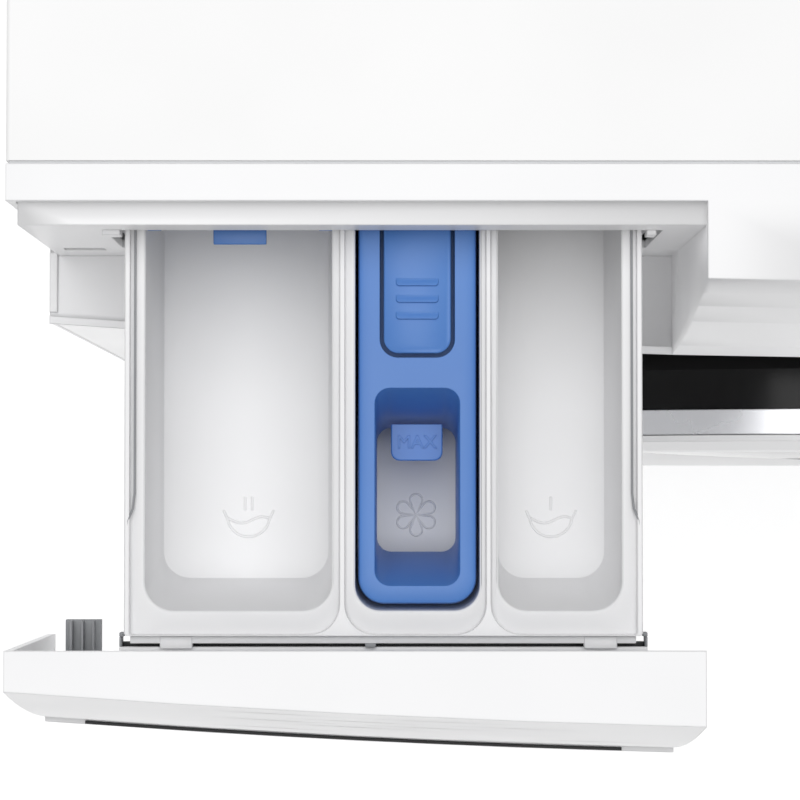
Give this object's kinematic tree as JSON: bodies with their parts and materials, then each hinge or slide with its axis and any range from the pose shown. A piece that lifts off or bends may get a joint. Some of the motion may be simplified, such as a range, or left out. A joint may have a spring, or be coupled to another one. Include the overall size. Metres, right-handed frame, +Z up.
{
  "type": "washing machine",
  "caption": "Front load washing machine with a pulled detergent drawer, round porthole door, control fascia, and a sprung tub with a belt-driven drum.",
  "frame": {"origin": "on the floor under the middle of the casing", "axes": "+X to the machine's right as seen from the front, +Y to its rear, +Z up; the door faces -Y"},
  "size_m": [0.598, 0.7152, 0.845],
  "materials": {
    "white_sheet": "semi-gloss baked enamel",
    "white_board": "laminated board with a smooth matt film",
    "white_moulding": "satin ABS moulding",
    "grey_moulding": "fine-grained polypropylene",
    "black_moulding": "fine-grained moulding",
    "dark_gloss": "polished moulding",
    "blue_moulding": "fine-grained polypropylene",
    "silver_ring": "satin metallised moulding",
    "glass": "pressed glass",
    "smoked_window": "smoked polycarbonate",
    "drum_steel": "polished stainless steel",
    "cast_alloy": "die-cast, as cast",
    "plain_steel": "zinc plated",
    "zinc_sheet": "hot-dip galvanised",
    "grey_rubber": "moulded EPDM",
    "black_rubber": "moulded EPDM",
    "tub_plastic": "glass-filled polypropylene",
    "concrete": "cast concrete",
    "motor_paint": "dark electrocoat",
    "circuit_board": "solder-masked laminate"
  },
  "bodies": {
    "cabinet": {"base_tray": "grey_moulding", "cabinet_shell": "white_sheet", "control_board": "circuit_board", "counterweights": "concrete", "dispenser_housing": "grey_moulding", "display_window": "dark_gloss", "door_gasket": "grey_rubber", "door_lock": "black_moulding", "drain_hose": "grey_rubber", "drain_outlet": "grey_moulding", "drain_pump": "grey_moulding", "drive_belt": "black_rubber", "drive_motor": "motor_paint", "drum_bearings": "plain_steel", "fascia": "white_moulding", "fasteners": "plain_steel", "foot_pads": "black_rubber", "foot_studs": "plain_steel", "front_panel": "white_sheet", "heater": "plain_steel", "hinge_bracket": "cast_alloy", "hinge_pin": "plain_steel", "inlet_valve": "white_moulding", "power_gland": "black_moulding", "rear_cover": "zinc_sheet", "shaft_seal": "black_rubber", "suspension_dampers": "grey_moulding", "suspension_springs": "plain_steel", "tub_front": "tub_plastic", "tub_hoses": "black_rubber", "tub_rear": "tub_plastic", "valve_hose": "black_rubber", "worktop": "white_board"},
    "drawer": {"drawer_panel": "white_moulding", "drawer_carrier": "grey_moulding", "drawer_tray": "white_moulding", "siphon_insert": "blue_moulding"},
    "drawer_release": {"release_tab": "blue_moulding"},
    "softener_flap": {"liquid_flap": "blue_moulding"},
    "door": {"door_frame": "black_moulding", "door_trim_ring": "silver_ring", "door_bezel": "white_moulding", "door_window": "smoked_window", "door_glass": "glass", "glass_clamp_ring": "black_moulding", "hinge_arm": "cast_alloy"},
    "door_catch": {"door_hook": "cast_alloy"},
    "knob": {"programme_knob": "white_moulding"},
    "temperature_key": {"button_temperature": "white_moulding"},
    "spin_key": {"button_spin_speed": "white_moulding"},
    "start_key": {"button_start": "white_moulding"},
    "power_key": {"button_power": "white_moulding"},
    "service_flap": {"filter_flap": "white_moulding"},
    "pump_filter": {"filter_cap": "white_moulding"},
    "impeller": {"pump_impeller": "black_moulding"},
    "drum": {"drum_shell": "drum_steel", "drum_lifters": "grey_moulding", "drum_spider": "cast_alloy", "drum_pulley": "cast_alloy"},
    "motor_rotor": {"motor_pulley": "plain_steel"}
  },
  "joints": [
    {"name": "drawer_slide", "type": "slide", "parent": "cabinet", "child": "drawer", "axis": [0, 1, 0], "range_m": [0, 0.129]},
    {"name": "release_tab_press", "type": "hinge", "parent": "drawer", "child": "drawer_release", "pos_m": [-0.1801, -0.2252, 0.8185], "axis": [1, 0, 0], "range_deg": [0, 4], "stiffness_Nm_per_rad": 0.3, "springref_deg": -2.86},
    {"name": "liquid_flap_hinge", "type": "hinge", "parent": "drawer", "child": "softener_flap", "pos_m": [-0.23285, -0.2492, 0.816], "axis": [1, 0, 0], "range_deg": [-88, 0]},
    {"name": "door_swing", "type": "hinge", "parent": "cabinet", "child": "door", "pos_m": [-0.2458, -0.294, 0.43], "axis": [0, 0, -1], "range_deg": [0, 150]},
    {"name": "door_hook_pivot", "type": "hinge", "parent": "door", "child": "door_catch", "pos_m": [0.2018, -0.289, 0.43], "axis": [0, 0, -1], "range_deg": [0, 10], "stiffness_Nm_per_rad": 0.12, "springref_deg": -5.73},
    {"name": "programme_turn", "type": "hinge", "parent": "cabinet", "child": "knob", "pos_m": [0.02, -0.28036, 0.787], "axis": [-0.0049, 0.9893, -0.1457], "continuous": true},
    {"name": "temperature_press", "type": "slide", "parent": "cabinet", "child": "temperature_key", "axis": [-0.023, 0.9891, -0.1457], "range_m": [0, 0.0015], "stiffness_N_per_m": 400, "springref_m": -0.002},
    {"name": "spin_press", "type": "slide", "parent": "cabinet", "child": "spin_key", "axis": [-0.0294, 0.9889, -0.1457], "range_m": [0, 0.0015], "stiffness_N_per_m": 400, "springref_m": -0.002},
    {"name": "start_press", "type": "slide", "parent": "cabinet", "child": "start_key", "axis": [-0.0549, 0.9878, -0.1457], "range_m": [0, 0.0015], "stiffness_N_per_m": 400, "springref_m": -0.002},
    {"name": "power_press", "type": "slide", "parent": "cabinet", "child": "power_key", "axis": [-0.0653, 0.9872, -0.1457], "range_m": [0, 0.0015], "stiffness_N_per_m": 400, "springref_m": -0.002},
    {"name": "service_flap_hinge", "type": "hinge", "parent": "cabinet", "child": "service_flap", "pos_m": [0.222, -0.275, 0.045], "axis": [1, 0, 0], "range_deg": [0, 95]},
    {"name": "filter_turn", "type": "hinge", "parent": "cabinet", "child": "pump_filter", "pos_m": [0.222, -0.245, 0.088], "axis": [0, -1, 0], "range_deg": [0, 180]},
    {"name": "impeller_spin", "type": "hinge", "parent": "cabinet", "child": "impeller", "pos_m": [0.222, -0.09, 0.088], "axis": [0, 1, 0], "continuous": true},
    {"name": "drum_spin", "type": "hinge", "parent": "cabinet", "child": "drum", "pos_m": [0, 0, 0.43], "axis": [0, 1, 0], "continuous": true},
    {"name": "motor_spin", "type": "hinge", "parent": "cabinet", "child": "motor_rotor", "pos_m": [-0.105, 0.207, 0.1112], "axis": [0, 1, 0], "continuous": true}
  ],
  "couplings": [
    {"joint": "motor_spin", "follows": "drum_spin", "ratio": 14}
  ]
}
